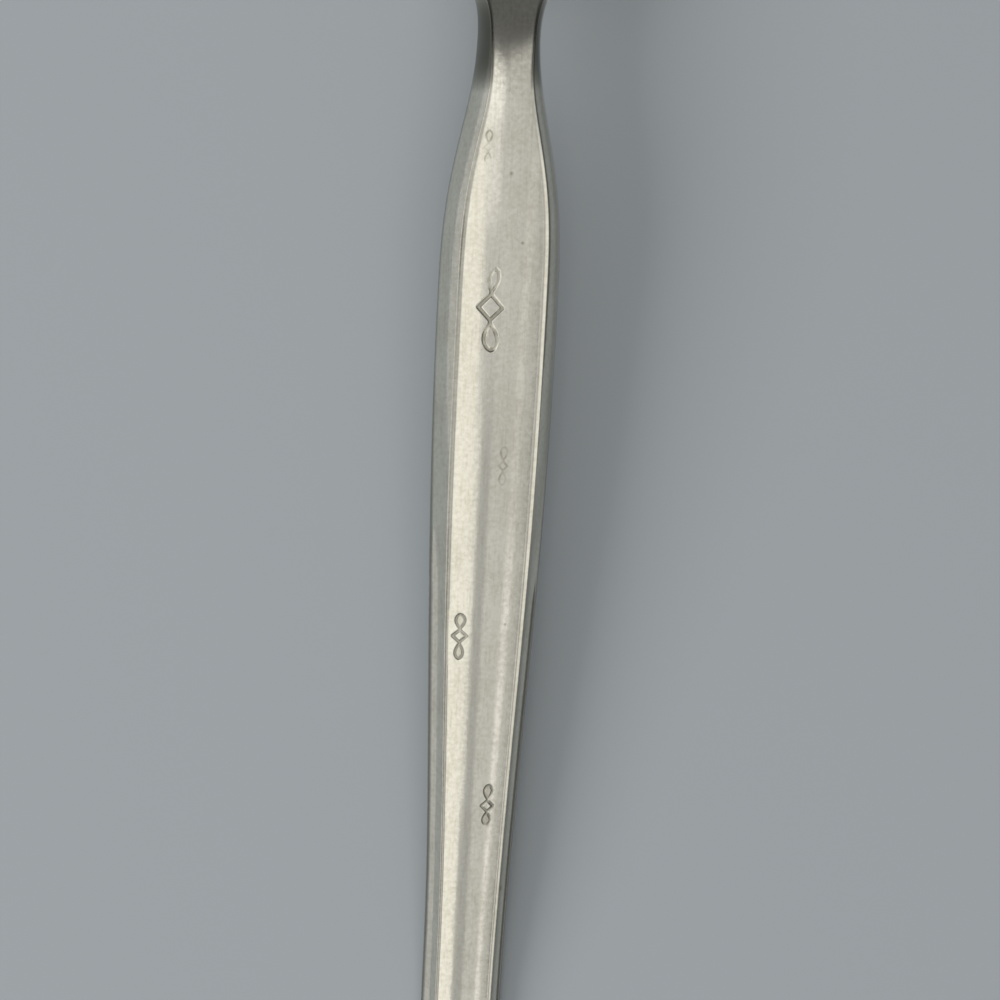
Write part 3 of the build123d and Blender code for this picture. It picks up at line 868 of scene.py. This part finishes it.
# Studio
def make_floor():
    bm = bmesh.new()
    bmesh.ops.create_grid(bm, x_segments=1, y_segments=1, size=FLOOR_HALF_WIDTH)
    mesh = bpy.data.meshes.new("floor")
    bm.to_mesh(mesh)
    bm.free()
    floor = bpy.data.objects.new("floor", mesh)
    bpy.context.scene.collection.objects.link(floor)
    material, tree, shader = make_material("floor_paint")
    shader.inputs["Base Color"].default_value = FLOOR_COLOUR
    shader.inputs["Roughness"].default_value = FLOOR_ROUGHNESS
    shader.inputs["Specular IOR Level"].default_value = 0.0
    mesh.materials.append(material)


def add_panel(panel):
    """Soft rectangular light lying level above the spoon."""
    lamp = bpy.data.lights.new(panel.name, "AREA")
    lamp.shape = "RECTANGLE"
    lamp.size = panel.high[0] - panel.low[0]
    lamp.size_y = panel.high[1] - panel.low[1]
    lamp.energy = panel.radiance * math.pi * lamp.size * lamp.size_y
    lamp.color = panel.colour
    light = bpy.data.objects.new(panel.name, lamp)
    middle = (Vector(panel.low) + Vector(panel.high)) / 2
    light.location = (middle.x, middle.y, panel.height)
    bpy.context.scene.collection.objects.link(light)


def add_floor_light():
    """Broad light from the left that the silver itself doesn't mirror."""
    lamp = bpy.data.lights.new("floor_light", "AREA")
    lamp.size = FLOOR_LIGHT_SIZE
    lamp.energy = FLOOR_LIGHT_POWER
    light = bpy.data.objects.new("floor_light", lamp)
    light.location = FLOOR_LIGHT_PLACE
    light.rotation_euler = (-Vector(FLOOR_LIGHT_PLACE)).to_track_quat("-Z", "Y").to_euler()
    light.visible_glossy = False
    bpy.context.scene.collection.objects.link(light)


def light_world():
    """Grey studio, light at the left, dark at the right and high up beyond the bowl."""
    world = bpy.data.worlds.new("studio")
    world.use_nodes = True
    tree = world.node_tree
    way = add_node(tree, "ShaderNodeTexCoord", {}).outputs["Generated"]
    rightwards = add_node(tree, "ShaderNodeSeparateXYZ", {"Vector": way}).outputs["X"]
    sides = spread(tree, rightwards, -EVEN_FROM, EVEN_FROM, LEFT_STRENGTH, RIGHT_STRENGTH)
    sides = combine(tree, "ADD", sides, spread(tree, rightwards, *GLOW_RANGE, GLOW_STRENGTH, 0.0))
    middle = Vector((math.sin(DARK_ASIDE), math.sin(DARK_TILT), math.cos(DARK_TILT)))
    inputs = {0: way, 1: middle}
    nearness = add_node(tree, "ShaderNodeVectorMath", inputs, operation="DOT_PRODUCT").outputs["Value"]
    outside, inside = [math.cos(angle) for angle in DARK_EDGE]
    dark = spread(tree, nearness, outside, inside, STUDIO_LIMIT, DARK_STRENGTH)
    background = tree.nodes["Background"]
    background.inputs["Color"].default_value = STUDIO_COLOUR
    tree.links.new(combine(tree, "MINIMUM", sides, dark), background.inputs["Strength"])
    bpy.context.scene.world = world


def make_camera():
    lens = bpy.data.cameras.new("camera")
    lens.sensor_width = SENSOR_WIDTH
    lens.lens = lens.sensor_width * CAMERA_DISTANCE / VIEW_WIDTH
    lens.clip_start = CLIP_START
    camera = bpy.data.objects.new("camera", lens)
    turn = Matrix.Rotation(-CAMERA_ROLL, 4, "Y") @ Matrix.Rotation(HANDLE_LEAN, 4, "Z")
    camera.matrix_world = Matrix.Translation(LOOK_AT) @ turn @ Matrix.Translation((0, 0, CAMERA_DISTANCE))
    bpy.context.scene.collection.objects.link(camera)
    bpy.context.scene.camera = camera


silver = make_silver()
make_handle(silver)
make_bowl(silver)
solder = make_solder()
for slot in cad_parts["solder_seam"].material_slots:
    slot.material = solder
make_floor()
light_world()
for panel in PANELS:
    add_panel(panel)
add_floor_light()
make_camera()

bpy.context.scene.view_settings.view_transform = "Standard"
